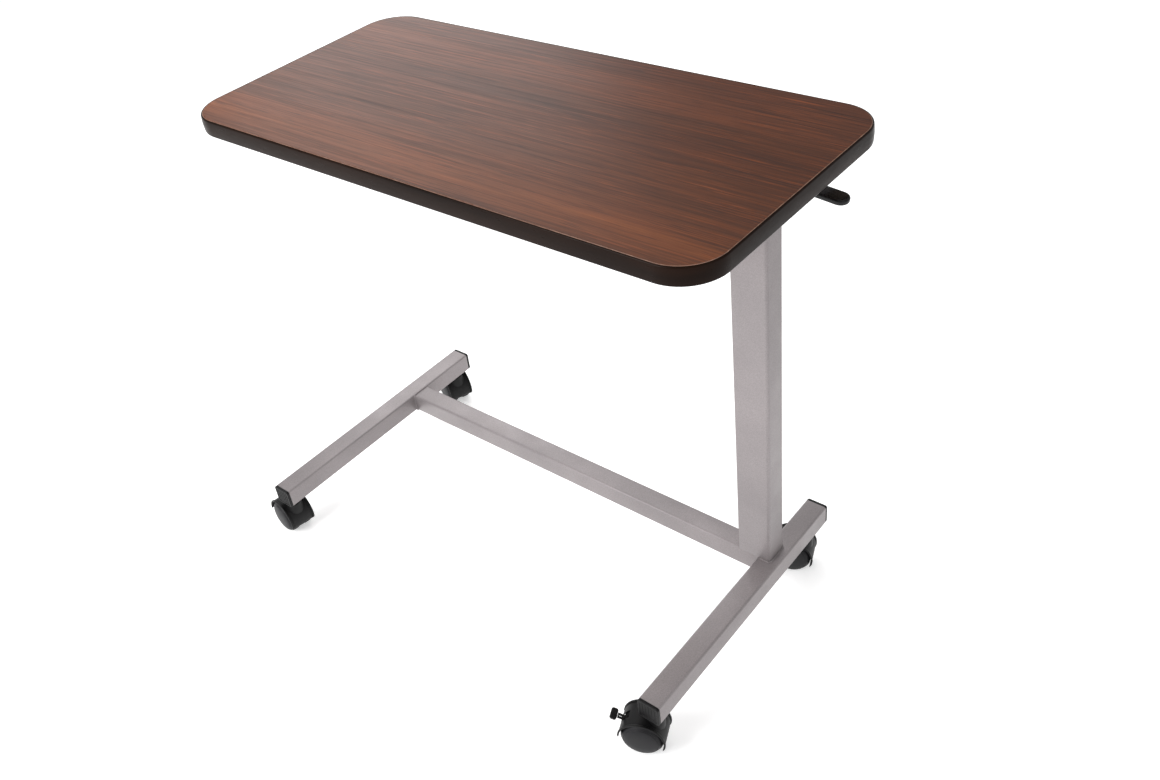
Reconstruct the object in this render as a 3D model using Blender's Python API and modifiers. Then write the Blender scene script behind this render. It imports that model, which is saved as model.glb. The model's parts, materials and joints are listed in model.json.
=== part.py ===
"""Overbed table on an H base with four twin-wheel casters, at its lowest height.

Metres, +Z up. +X runs along the table top towards the column's end and +Y towards
the back. The floor is z = 0, and the origin is under the middle of the whole table.
"""

import math

import bmesh
import bpy

# Driving dimensions, measured from the middle of the table top.
TABLE_LENGTH = 0.762
TABLE_WIDTH = 0.365
TABLE_TOP_Z = 0.715
EDGE_HEIGHT = 0.022
CORNER_RADIUS = 0.052
TUBE = 0.031
TUBE_WALL = 0.0018
LEG_TOP_Z = 0.095
LEG_FRONT_Y = -0.214
LEG_BACK_Y = 0.190
LEFT_LEG_X = -0.400
RIGHT_LEG_X = 0.298
RAIL_Y = 0.076
COLUMN_X = 0.277
COLUMN_Y = RAIL_Y
COLUMN_TOP_Z = 0.648
OUTER_COLUMN = (0.050, 0.035, 0.002)
INNER_COLUMN = (0.042, 0.027, 0.0015)
CASTER_TRAIL = 0.017
WHEEL_RADIUS = 0.0275
LEVER_PITCH = 6

# Each caster: its stem's distance in from the leg's end, the heading it trails along, and its brake.
CASTERS = {
    "front_left": (0.0105, 172, False),
    "rear_left": (0.0200, 160, False),
    "front_right": (0.0105, 203, True),
    "rear_right": (0.0300, 200, True),
}

# The middle of the whole table, seen from above, as offsets from the middle of the top.
ORIGIN_X = -0.0314
ORIGIN_Y = -0.0177

# Gaps and shared sizes.
GAP = 0.0003
SHEET = 0.001
MOULDING_FACE = 0.004
PLATE_THICKNESS = 0.003
SCREW_RADIUS = 0.002
AXLE_RADIUS = 0.003
STEM_RADIUS = 0.004
PIVOT_RADIUS = 0.002
ROD_RADIUS = 0.004

LEG_BOTTOM_Z = LEG_TOP_Z - TUBE
LEG_MID_Z = LEG_TOP_Z - TUBE / 2
MOULDING_BOTTOM_Z = TABLE_TOP_Z - EDGE_HEIGHT
LAMINATE_BOTTOM_Z = TABLE_TOP_Z - SHEET
BACKER_BOTTOM_Z = MOULDING_BOTTOM_Z + 0.0004
BACKER_TOP_Z = BACKER_BOTTOM_Z + 0.0008
CORE_BOTTOM_Z = BACKER_TOP_Z + GAP
CORE_TOP_Z = LAMINATE_BOTTOM_Z - GAP
PLATE_TOP_Z = BACKER_BOTTOM_Z - GAP
PLATE_BOTTOM_Z = PLATE_TOP_Z - PLATE_THICKNESS
PLATE_X = (0.137, 0.357)
PLATE_Y = (-0.080, 0.140)
ANGLE_LEFT_X = -0.290
ANGLE_FLANGE = 0.020
ANGLE_WALL = 0.002
INNER_BOTTOM_Z = 0.1123
INNER_TOP_Z = PLATE_BOTTOM_Z - GAP
HEAD_Z = (0.638, 0.650)
ROD_TOP_Z = 0.657
PIN_BOTTOM_Z = 0.645
LEVER_PIVOT_X = COLUMN_X + 0.013
LEVER_PIVOT_Z = 0.6735
LEVER_THICKNESS = 0.003
LEVER_REACH = 0.0995
AXLE_Z = WHEEL_RADIUS
HOOD_RADIUS = 0.031
WHEEL_SPACE_RADIUS = 0.0289
WEB_HALF = 0.0036
PEDAL_PITCH = -20


# Helpers.


def clear_scene():
    for obj in list(bpy.data.objects):
        bpy.data.objects.remove(obj, do_unlink=True)


def collection(name):
    made = bpy.data.collections.new(name)
    bpy.context.scene.collection.children.link(made)
    return made


def material(name, colour, roughness, metallic=0.0):
    made = bpy.data.materials.new(name)
    made.use_nodes = True
    shader = made.node_tree.nodes["Principled BSDF"]
    shader.inputs["Base Color"].default_value = (*colour, 1.0)
    shader.inputs["Roughness"].default_value = roughness
    shader.inputs["Metallic"].default_value = metallic
    return made


def add_object(name, data, finish, parent, location=(0, 0, 0), rotation=(0, 0, 0)):
    """Link a new object of the table under its parent."""
    obj = bpy.data.objects.new(name, data)
    PARTS.objects.link(obj)
    obj.parent = parent
    obj.location = location
    obj.rotation_euler = [math.radians(angle) for angle in rotation]
    if finish:
        data.materials.clear()
        data.materials.append(finish)
    return obj


def axis_empty(name, parent, location, rotation=(0, 0, 0)):
    obj = bpy.data.objects.new(name, None)
    obj.empty_display_size = 0.02
    PARTS.objects.link(obj)
    obj.parent = parent
    obj.location = location
    obj.rotation_euler = [math.radians(angle) for angle in rotation]
    return obj


def arc(centre, radius, start, end, steps):
    """Points along an arc, with its angles in degrees."""
    points = []
    for step in range(steps + 1):
        angle = math.radians(start + (end - start) * step / steps)
        points.append((centre[0] + radius * math.cos(angle),
                       centre[1] + radius * math.sin(angle)))
    return points


def circle(centre, radius, steps):
    return arc(centre, radius, 0, 360, steps)[:-1]


def rounded_rectangle(length, width, radius, steps, centre=(0, 0)):
    points = []
    for quarter, (side_x, side_y) in enumerate(((1, 1), (-1, 1), (-1, -1), (1, -1))):
        corner = (centre[0] + side_x * (length / 2 - radius),
                  centre[1] + side_y * (width / 2 - radius))
        points += arc(corner, radius, 90 * quarter, 90 * quarter + 90, steps)
    return points


def outline_curve(name, outlines, thickness):
    """A flat outline in XY, with holes, extruded along Z about its middle."""
    curve = bpy.data.curves.new(name, "CURVE")
    curve.dimensions = "2D"
    curve.fill_mode = "BOTH"
    curve.extrude = thickness / 2
    for outline in outlines:
        spline = curve.splines.new("POLY")
        spline.points.add(len(outline) - 1)
        for point, (x, y) in zip(spline.points, outline):
            point.co = (x, y, 0, 1)
        spline.use_cyclic_u = True
    return curve


def mesh_of(obj):
    """The evaluated mesh of an object, with its points welded and its faces turned outwards."""
    graph = bpy.context.evaluated_depsgraph_get()
    mesh = bpy.data.meshes.new_from_object(obj.evaluated_get(graph))
    work = bmesh.new()
    work.from_mesh(mesh)
    bmesh.ops.remove_doubles(work, verts=work.verts, dist=1e-6)
    bmesh.ops.recalc_face_normals(work, faces=work.faces)
    work.to_mesh(mesh)
    work.free()
    return mesh


def extruded(name, outlines, thickness, finish, parent, location=(0, 0, 0), rotation=(0, 0, 0)):
    """A plate, bar or tube made from flat outlines, as a welded mesh."""
    guide = bpy.data.objects.new(name + "_outline", outline_curve(name, outlines, thickness))
    CUTTERS.objects.link(guide)
    mesh = mesh_of(guide)
    bpy.data.objects.remove(guide, do_unlink=True)
    mesh.name = name
    return add_object(name, mesh, finish, parent, location, rotation)


def turned(name, profile, steps, finish, parent, location=(0, 0, 0), rotation=(0, 0, 0)):
    """A profile of (radius, height) points turned about Z. It runs down its outer side."""
    mesh = bpy.data.meshes.new(name)
    points = [(radius, 0, height) for radius, height in profile]
    closed = profile[0][0] > 0
    edges = [(index, index + 1) for index in range(len(points) - 1)]
    if closed:
        edges.append((len(points) - 1, 0))
    mesh.from_pydata(points, edges, [])
    obj = add_object(name, mesh, finish, parent, location, rotation)
    screw = obj.modifiers.new("turn", "SCREW")
    screw.axis = "Z"
    screw.steps = steps
    screw.render_steps = steps
    screw.use_merge_vertices = True
    screw.merge_threshold = 0.00001
    screw.use_smooth_shade = False
    return obj


def box_cutter(name, low, high, parent):
    mesh = bpy.data.meshes.new(name)
    work = bmesh.new()
    bmesh.ops.create_cube(work, size=1.0)
    for vert in work.verts:
        for axis in range(3):
            vert.co[axis] = low[axis] if vert.co[axis] < 0 else high[axis]
    work.to_mesh(mesh)
    work.free()
    return as_cutter(bpy.data.objects.new(name, mesh), parent)


def cylinder_cutter(name, radius, centre, length, axis, parent, steps=24):
    """A cylinder along X, Y or Z about its centre."""
    mesh = bpy.data.meshes.new(name)
    work = bmesh.new()
    bmesh.ops.create_cone(work, cap_ends=True, segments=steps, radius1=radius, radius2=radius,
                          depth=length)
    work.to_mesh(mesh)
    work.free()
    obj = bpy.data.objects.new(name, mesh)
    obj.location = centre
    obj.rotation_euler = {"X": (0, math.pi / 2, 0), "Y": (math.pi / 2, 0, 0), "Z": (0, 0, 0)}[axis]
    return as_cutter(obj, parent)


def as_cutter(obj, parent):
    CUTTERS.objects.link(obj)
    obj.parent = parent
    obj.hide_render = True
    obj.display_type = "WIRE"
    return obj


def combine(obj, operation, others):
    """Cut the others from the object, or join them to it."""
    for other in others:
        step = obj.modifiers.new(other.name, "BOOLEAN")
        step.operation = operation
        step.object = other


def soft_shading(obj, angle=35):
    obj.data.shade_smooth()
    obj.data.set_sharp_from_angle(angle=math.radians(angle))


def square_tube(name, size, wall, corner, length, finish, parent, location, rotation=(0, 0, 0)):
    """A hollow rectangular tube along its own Z, open at both ends."""
    inner_size = (size[0] - 2 * wall, size[1] - 2 * wall)
    outlines = [rounded_rectangle(*size, corner, 3),
                rounded_rectangle(*inner_size, corner - wall / 2, 3)]
    obj = extruded(name, outlines, length, finish, parent, location, rotation)
    soft_shading(obj)
    return obj


def height_span(low, high):
    """The thickness and the middle of a level slab."""
    return high - low, (low + high) / 2


def inside_of(column):
    """The length and width that fit inside a column tube, with a gap all round."""
    length, width, wall = column
    return length - 2 * wall - 2 * GAP, width - 2 * wall - 2 * GAP


# Materials.


def make_materials():
    return {
        "laminate": material("walnut_laminate", (0.105, 0.036, 0.019), 0.38),
        "core": material("particle_board", (0.42, 0.30, 0.18), 0.85),
        "backer": material("backing_sheet", (0.22, 0.20, 0.18), 0.7),
        "moulding": material("edge_moulding", (0.012, 0.007, 0.006), 0.3),
        "paint": material("silver_paint", (0.40, 0.37, 0.37), 0.45, 0.3),
        "zinc": material("zinc_steel", (0.55, 0.55, 0.56), 0.35, 1.0),
        "plastic": material("black_plastic", (0.012, 0.012, 0.013), 0.42),
        "wheel": material("wheel_plastic", (0.014, 0.014, 0.015), 0.5),
        "gloss": material("lever_plastic", (0.008, 0.008, 0.009), 0.18),
        "cylinder": material("cylinder_paint", (0.02, 0.02, 0.02), 0.3, 0.2),
    }


# The table top.


def screw_places():
    """The six wood screws: four through the plate and one through each support angle."""
    inset = 0.016
    places = {}
    for front, y in (("front", PLATE_Y[0] + inset), ("rear", PLATE_Y[1] - inset)):
        places[front + "_left"] = (PLATE_X[0] + inset, y, PLATE_BOTTOM_Z)
        places[front + "_right"] = (PLATE_X[1] - inset, y, PLATE_BOTTOM_Z)
        inward = 1 if front == "front" else -1
        angle_y = angle_edge(front) + inward * (ANGLE_FLANGE + ANGLE_WALL) / 2
        places[front + "_angle"] = (ANGLE_LEFT_X + inset, angle_y, PLATE_TOP_Z - ANGLE_WALL)
    return places


def angle_edge(side):
    """The outer edge of a support angle, where its upright flange stands."""
    return PLATE_Y[0] if side == "front" else PLATE_Y[1]


def make_top(top, finishes):
    inner_length = TABLE_LENGTH - 2 * MOULDING_FACE
    inner_width = TABLE_WIDTH - 2 * MOULDING_FACE
    inner_radius = CORNER_RADIUS - MOULDING_FACE
    sheet = rounded_rectangle(inner_length - 2 * GAP, inner_width - 2 * GAP, inner_radius - GAP, 8)

    slabs = {
        "top_laminate": (LAMINATE_BOTTOM_Z, TABLE_TOP_Z, "laminate"),
        "top_core": (CORE_BOTTOM_Z, CORE_TOP_Z, "core"),
        "top_backer": (BACKER_BOTTOM_Z, BACKER_TOP_Z, "backer"),
    }
    made = {}
    for name, (low, high, finish) in slabs.items():
        thickness, middle = height_span(low, high)
        made[name] = extruded(name, [sheet], thickness, finishes[finish], top, (0, 0, middle))

    path = (inner_length, inner_width, inner_radius)
    groove = swept_ring("moulding_groove", groove_profile(), *path)
    groove_cutter = as_cutter(bpy.data.objects.new("moulding_groove", groove), top)
    moulding = add_object("top_edge_moulding", swept_ring("edge_moulding", moulding_profile(), *path),
                          finishes["moulding"], top)
    soft_shading(moulding)

    combine(made["top_core"], "DIFFERENCE", [groove_cutter])
    for name, (x, y, head_z) in screw_places().items():
        hole = cylinder_cutter("pilot_" + name, SCREW_RADIUS + GAP, (x, y, head_z + 0.009), 0.022, "Z",
                               top, 8)
        combine(made["top_core"], "DIFFERENCE", [hole])
        combine(made["top_backer"], "DIFFERENCE", [hole])


def moulding_profile():
    """The T moulding's section, as (outward, height) from its flat back face."""
    middle = (MOULDING_BOTTOM_Z + TABLE_TOP_Z) / 2
    half = EDGE_HEIGHT / 2
    crown = 0.0007
    rounding = 0.0027
    face = MOULDING_FACE - crown - rounding
    section = [(0, middle + half)]
    section += arc((face, middle + half - rounding), rounding, 90, 0, 2)
    section += [(MOULDING_FACE, middle)]
    section += arc((face, middle - half + rounding), rounding, 0, -90, 2)
    section += [(0, middle - half)]
    barb = 0.0011
    section += [(0, middle - barb), (-0.008, middle - barb), (-0.008, middle + barb), (0, middle + barb)]
    return section


def groove_profile():
    middle = (MOULDING_BOTTOM_Z + TABLE_TOP_Z) / 2
    half = 0.0015
    return [(0.002, middle + half), (0.002, middle - half),
            (-0.009, middle - half), (-0.009, middle + half)]


def swept_ring(name, section, length, width, radius):
    """A section carried round a rounded rectangle. Its outward side faces away from the middle."""
    work = bmesh.new()
    rings = []
    for quarter, (side_x, side_y) in enumerate(((1, 1), (-1, 1), (-1, -1), (1, -1))):
        corner = (side_x * (length / 2 - radius), side_y * (width / 2 - radius))
        for step in range(9):
            angle = math.radians(90 * quarter + 90 * step / 8)
            ring = []
            for outward, height in section:
                reach = radius + outward
                ring.append(work.verts.new((corner[0] + reach * math.cos(angle),
                                            corner[1] + reach * math.sin(angle), height)))
            rings.append(ring)
    for here, there in zip(rings, rings[1:] + rings[:1]):
        for index in range(len(section)):
            after = (index + 1) % len(section)
            work.faces.new((here[index], there[index], there[after], here[after]))
    bmesh.ops.recalc_face_normals(work, faces=work.faces)
    mesh = bpy.data.meshes.new(name)
    work.to_mesh(mesh)
    work.free()
    return mesh


def make_mounting(top, finishes):
    """The steel plate and angles under the top, and the screws that hold them."""
    width_x = PLATE_X[1] - PLATE_X[0]
    width_y = PLATE_Y[1] - PLATE_Y[0]
    middle = ((PLATE_X[0] + PLATE_X[1]) / 2, (PLATE_Y[0] + PLATE_Y[1]) / 2)
    holes = [circle((x - middle[0], y - middle[1]), SCREW_RADIUS + GAP, 12)
             for name, (x, y, _) in screw_places().items() if not name.endswith("angle")]
    plate = rounded_rectangle(width_x, width_y, 0.006, 3)
    extruded("top_mounting_plate", [plate] + holes, PLATE_THICKNESS, finishes["paint"], top,
             (*middle, PLATE_TOP_Z - PLATE_THICKNESS / 2))

    flange, wall = ANGLE_FLANGE, ANGLE_WALL
    length = PLATE_X[0] - GAP - ANGLE_LEFT_X
    for side, inward in (("front", 1), ("rear", -1)):
        # The outline lies in YZ, and its extrusion runs along X.
        corners = [(0, 0), (0, -flange), (inward * wall, -flange), (inward * wall, -wall),
                   (inward * flange, -wall), (inward * flange, 0)]
        angle = extruded(side + "_support_angle", [corners], length, finishes["paint"], top,
                         (ANGLE_LEFT_X + length / 2, angle_edge(side), PLATE_TOP_Z), (90, 0, 90))
        x, y, head_z = screw_places()[side + "_angle"]
        hole = cylinder_cutter(side + "_angle_hole", SCREW_RADIUS + GAP, (x, y, head_z), 0.008, "Z",
                               top, 12)
        combine(angle, "DIFFERENCE", [hole])

    for name, (x, y, head_z) in screw_places().items():
        profile = [(0, 0.018), (SCREW_RADIUS * 0.5, 0.0165), (SCREW_RADIUS, 0.013),
                   (SCREW_RADIUS, -GAP), (0.0044, -GAP), (0.0038, -0.0024), (0, -0.0028)]
        turned("wood_screw_" + name, profile, 12, finishes["zinc"], top, (x, y, head_z))


# The lift: the inner column, the gas spring's rod and the release lever.


def make_inner_column(top, finishes):
    thickness, middle = height_span(INNER_BOTTOM_Z, INNER_TOP_Z)
    tube = square_tube("inner_column", INNER_COLUMN[:2], INNER_COLUMN[2], 0.0035, thickness,
                       finishes["zinc"], top, (COLUMN_X, COLUMN_Y, middle))
    right = COLUMN_X + INNER_COLUMN[0] / 2
    window = box_cutter("lever_window", (right - 0.004, COLUMN_Y - 0.009, 0.661),
                        (right + 0.002, COLUMN_Y + 0.009, 0.6855), top)
    pin_hole = cylinder_cutter("pivot_hole", PIVOT_RADIUS + 0.0002,
                               (LEVER_PIVOT_X, COLUMN_Y, LEVER_PIVOT_Z), 0.05, "Y", top, 16)
    combine(tube, "DIFFERENCE", [window, pin_hole])

    inside = inside_of(INNER_COLUMN)
    thickness, middle = height_span(*HEAD_Z)
    head = [rounded_rectangle(*inside, 0.0027, 2), circle((0, 0), ROD_RADIUS + GAP, 24)]
    extruded("column_head_block", head, thickness, finishes["zinc"], top, (COLUMN_X, COLUMN_Y, middle))

    shoe = [rounded_rectangle(*inside_of(OUTER_COLUMN), 0.0028, 2), circle((0, 0), 0.0117, 32)]
    thickness, middle = height_span(INNER_BOTTOM_Z - GAP - 0.010, INNER_BOTTOM_Z - GAP)
    extruded("lower_glide_shoe", shoe, thickness, finishes["plastic"], top, (COLUMN_X, COLUMN_Y, middle))


def make_rod(top, finishes):
    bore = PIVOT_RADIUS + 0.0002
    bore_bottom = PIN_BOTTOM_Z - 0.005
    piston = (0.118, 0.130)
    profile = [(0, bore_bottom), (bore, bore_bottom), (bore, ROD_TOP_Z),
               (ROD_RADIUS - 0.0005, ROD_TOP_Z), (ROD_RADIUS, ROD_TOP_Z - 0.0005),
               (ROD_RADIUS, piston[1]), (0.009, piston[1]), (0.009, piston[0]), (0, piston[0])]
    turned("gas_spring_rod", profile, 16, finishes["zinc"], top, (COLUMN_X, COLUMN_Y, 0))
    nut = [circle((0, 0), 0.0075, 6), circle((0, 0), ROD_RADIUS + GAP, 24)]
    extruded("rod_lock_nut", nut, 0.005, finishes["zinc"], top,
             (COLUMN_X, COLUMN_Y, HEAD_Z[1] + GAP + 0.0025))


def make_lever(top, finishes):
    pivot = axis_empty("lever_axis", top, (LEVER_PIVOT_X, COLUMN_Y, LEVER_PIVOT_Z), (0, LEVER_PITCH, 0))
    half = LEVER_THICKNESS / 2
    hub = 0.0055
    meet = math.degrees(math.asin(half / hub))
    nose_x = -0.0185
    outline = [(0.054, -half), (0.054, half)]
    outline += arc((0, 0), hub, meet, 180 - meet, 8)
    outline += arc((nose_x, 0), half, 90, 270, 6)
    outline += arc((0, 0), hub, 180 + meet, 360 - meet, 8)
    pin_hole = circle((0, 0), PIVOT_RADIUS + 0.0001, 16)
    arm = extruded("release_lever_arm", [outline, pin_hole], 0.014, finishes["zinc"], pivot,
                   rotation=(90, 0, 0))
    soft_shading(arm)

    width, thickness, start = 0.021, 0.0065, 0.030
    tip = LEVER_REACH - width / 2
    grip_outline = arc((tip, 0), width / 2, -90, 90, 12)
    grip_outline += [(start, width / 2 - 0.001), (start, -width / 2 + 0.001)]
    grip = extruded("lever_grip", [grip_outline], thickness, finishes["gloss"], pivot)
    socket = box_cutter("grip_socket", (start - 0.002, -0.0073, -half - GAP),
                        (0.0545, 0.0073, half + GAP), pivot)
    combine(grip, "DIFFERENCE", [socket])
    edge = grip.modifiers.new("rounded_edge", "BEVEL")
    edge.width = 0.0012
    edge.segments = 2
    edge.limit_method = "ANGLE"
    edge.angle_limit = math.radians(60)
    grip.modifiers.move(grip.modifiers.find("rounded_edge"), 0)

    reach = INNER_COLUMN[1] / 2 + 0.001
    turned("lever_pivot_pin", [(0, reach), (PIVOT_RADIUS, reach), (PIVOT_RADIUS, -reach), (0, -reach)],
           16, finishes["zinc"], top, (LEVER_PIVOT_X, COLUMN_Y, LEVER_PIVOT_Z), (90, 0, 0))

    pitch = math.radians(LEVER_PITCH)
    under_nose = (LEVER_PIVOT_Z + (LEVER_PIVOT_X - COLUMN_X) * math.tan(pitch)
                  - half / math.cos(pitch))
    pin_top = under_nose - GAP
    turned("release_pin", [(0, pin_top), (0.0014, pin_top), (PIVOT_RADIUS, pin_top - 0.0006),
                           (PIVOT_RADIUS, PIN_BOTTOM_Z), (0, PIN_BOTTOM_Z)],
           12, finishes["zinc"], top, (COLUMN_X, COLUMN_Y, 0))


# The base.


def make_column(base, finishes):
    bottom = LEG_TOP_Z + GAP
    thickness, middle = height_span(bottom, COLUMN_TOP_Z)
    square_tube("outer_column", OUTER_COLUMN[:2], OUTER_COLUMN[2], 0.004, thickness,
                finishes["paint"], base, (COLUMN_X, COLUMN_Y, middle))
    inside = inside_of(OUTER_COLUMN)

    plate = [rounded_rectangle(*inside, 0.0025, 2), circle((0, 0), 0.0046, 24)]
    extruded("column_foot_plate", plate, 0.004, finishes["zinc"], base,
             (COLUMN_X, COLUMN_Y, bottom + 0.002))

    opening = rounded_rectangle(INNER_COLUMN[0] + 0.0006, INNER_COLUMN[1] + 0.0006, 0.0032, 3)
    collar_top = COLUMN_TOP_Z + GAP + 0.003
    sleeve_bottom = COLUMN_TOP_Z - 0.040
    thickness, middle = height_span(sleeve_bottom, collar_top)
    bush = extruded("column_guide_bush", [rounded_rectangle(*inside, 0.0032, 3), opening], thickness,
                    finishes["plastic"], base, (COLUMN_X, COLUMN_Y, middle))
    flange_outline = rounded_rectangle(OUTER_COLUMN[0], OUTER_COLUMN[1], 0.004, 3)
    flange = extruded("bush_flange", [flange_outline, opening], 0.003, None, base,
                      (COLUMN_X, COLUMN_Y, collar_top - 0.0015))
    PARTS.objects.unlink(flange)
    as_cutter(flange, base)
    combine(bush, "UNION", [flange])

    outer, inner, rod_bore = 0.011, 0.0093, ROD_RADIUS + GAP
    floor_z, ceiling_z, cylinder_top = 0.110, 0.622, 0.630
    foot_z, spigot_z = 0.1005, 0.0965
    profile = [(0, floor_z), (inner, floor_z), (inner, ceiling_z), (rod_bore, ceiling_z),
               (rod_bore, cylinder_top), (outer, cylinder_top), (outer, foot_z),
               (STEM_RADIUS, foot_z), (STEM_RADIUS, spigot_z), (0, spigot_z)]
    turned("gas_spring_cylinder", profile, 20, finishes["cylinder"], base, (COLUMN_X, COLUMN_Y, 0))


def make_legs(base, finishes):
    start = LEFT_LEG_X + TUBE / 2 + GAP
    end = RIGHT_LEG_X - TUBE / 2 - GAP
    square_tube("cross_rail", (TUBE, TUBE), TUBE_WALL, 0.003, end - start, finishes["paint"], base,
                ((start + end) / 2, RAIL_Y, LEG_MID_Z), (0, 90, 0))
    length, middle = height_span(LEG_FRONT_Y, LEG_BACK_Y)
    for side, x in (("left", LEFT_LEG_X), ("right", RIGHT_LEG_X)):
        leg = square_tube(side + "_leg", (TUBE, TUBE), TUBE_WALL, 0.003, length, finishes["paint"],
                          base, (x, middle, LEG_MID_Z), (-90, 0, 0))
        for end_name, inward, end_y in (("front", 1, LEG_FRONT_Y), ("rear", -1, LEG_BACK_Y)):
            where = f"{end_name}_{side}"
            socket_y = end_y + inward * CASTERS[where][0]
            hole = cylinder_cutter(where + "_socket_hole", 0.0063, (x, socket_y, LEG_BOTTOM_Z), 0.008,
                                   "Z", base)
            combine(leg, "DIFFERENCE", [hole])
            make_socket(where, base, finishes, (x, socket_y, 0))
            make_plug(where, base, finishes, (x, end_y, LEG_MID_Z), inward)


def make_socket(where, base, finishes, location):
    bore = STEM_RADIUS + 0.0002
    sleeve, collar = 0.0060, 0.0100
    top_z, collar_bottom = 0.088, 0.0620
    profile = [(bore, top_z), (sleeve, top_z), (sleeve, LEG_BOTTOM_Z - GAP),
               (collar, LEG_BOTTOM_Z - GAP), (collar, collar_bottom), (bore, collar_bottom)]
    turned("caster_socket_" + where, profile, 12, finishes["plastic"], base, location)


def make_plug(where, base, finishes, location, inward):
    """A cap over the tube's end, with a square boss that reaches a little way inside."""
    cap, boss = 0.004, 0.0035
    inside = TUBE - 2 * TUBE_WALL - 2 * GAP
    x, end_y, z = location
    plug = extruded("end_plug_" + where, [rounded_rectangle(TUBE, TUBE, 0.0035, 3)], cap,
                    finishes["plastic"], base, (x, end_y - inward * (cap / 2 + GAP), z), (90, 0, 0))
    core = extruded("plug_boss_" + where, [rounded_rectangle(inside, inside, 0.0022, 2)],
                    boss + cap / 2, None, base, (x, end_y + inward * (boss - cap / 2) / 2, z), (90, 0, 0))
    PARTS.objects.unlink(core)
    as_cutter(core, base)
    edge = plug.modifiers.new("rounded_edge", "BEVEL")
    edge.width = 0.0012
    edge.segments = 2
    edge.limit_method = "ANGLE"
    edge.angle_limit = math.radians(60)
    combine(plug, "UNION", [core])


# The casters. Each is built with its stem on Z and trails along its own +X.


def make_caster(where, base, finishes, location, aim, locking):
    swivel = axis_empty("swivel_axis_" + where, base, location, (0, 0, aim))
    make_stem(where, swivel, finishes)
    make_housing(where, swivel, finishes, locking)
    half = 0.0193
    turned("axle_" + where, [(0, half), (AXLE_RADIUS, half), (AXLE_RADIUS, -half), (0, -half)], 12,
           finishes["zinc"], swivel, (CASTER_TRAIL, 0, AXLE_Z), (90, 0, 0))
    for side, turn in (("a", -90), ("b", 90)):
        make_wheel(f"wheel_{where}_{side}", swivel, finishes, turn)
    if locking:
        make_pedal(where, swivel, finishes)


def make_stem(where, swivel, finishes):
    top_z, bottom_z = 0.0860, 0.0535
    flange, flange_top, flange_bottom = 0.0078, 0.0617, 0.0602
    profile = [(0, top_z), (0.0030, top_z), (STEM_RADIUS, top_z - 0.0015), (STEM_RADIUS, flange_top),
               (flange, flange_top), (flange, flange_bottom), (STEM_RADIUS, flange_bottom),
               (STEM_RADIUS, bottom_z), (0, bottom_z)]
    turned("caster_stem_" + where, profile, 12, finishes["zinc"], swivel)


def make_wheel(name, swivel, finishes, turn):
    """A wheel about the axle. Its 32 sides put a flat on the floor."""
    sides = 32
    half_side = 180 / sides
    rim = WHEEL_RADIUS / math.cos(math.radians(half_side))
    bore = AXLE_RADIUS + 0.00015
    inner_face, bore_end, outer_face = 0.0046, 0.0196, 0.0235
    profile = [(0, outer_face), (0.0195, 0.0219), (0.0248, 0.0186), (rim, 0.0140), (rim, 0.0062),
               (0.0252, inner_face), (bore, inner_face), (bore, bore_end), (0, bore_end)]
    # The half-side turn about the axle brings a flat, not an edge, to the bottom.
    turned(name, profile, sides, finishes["wheel"], swivel, (CASTER_TRAIL, 0, AXLE_Z),
           (turn, half_side, 0))


def make_housing(where, swivel, finishes, locking):
    """The hood over both wheels, the web between them and the boss round the stem."""
    # The outline lies in the caster's XZ plane and is extruded along the axle.
    hood = extruded("caster_housing_" + where, [hood_outline()], 0.041, finishes["plastic"], swivel,
                    rotation=(90, 0, 0))
    boss = cylinder_cutter("stem_boss_" + where, 0.0112, (0, 0, 0.0525), 0.0148, "Z", swivel)
    combine(hood, "UNION", [boss])
    reach = 0.022
    cuts = [
        cylinder_cutter("axle_bore_" + where, AXLE_RADIUS + 0.0001, (CASTER_TRAIL, 0, AXLE_Z), 0.02,
                        "Y", swivel, 16),
        cylinder_cutter("stem_bore_" + where, STEM_RADIUS + 0.0002, (0, 0, 0.0605), 0.0150, "Z", swivel),
    ]
    for side, middle in (("a", -WEB_HALF - reach / 2), ("b", WEB_HALF + reach / 2)):
        cuts.append(cylinder_cutter(f"wheel_space_{side}_{where}", WHEEL_SPACE_RADIUS,
                                    (CASTER_TRAIL, middle, AXLE_Z), reach, "Y", swivel, 32))
    if locking:
        x, z = pedal_pivot()
        cuts.append(box_cutter("pedal_notch_" + where, (x - 0.0042, -0.0055, z - 0.0045),
                               (x + 0.020, 0.0055, z + 0.030), swivel))
    combine(hood, "DIFFERENCE", cuts)


def hood_outline():
    """A circle round the axle, cut off below by a line that drops towards the stem."""
    centre = (CASTER_TRAIL, AXLE_Z)
    outline = arc(centre, HOOD_RADIUS, 5, 203, 22)
    below_axle = [(CASTER_TRAIL - 0.003, AXLE_Z - 0.0085), (CASTER_TRAIL + 0.004, AXLE_Z - 0.0060)]
    return outline + below_axle


def pedal_pivot():
    """The pedal's axis, high on the trailing side of the web."""
    return CASTER_TRAIL + 0.0215, AXLE_Z + 0.0130


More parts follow.
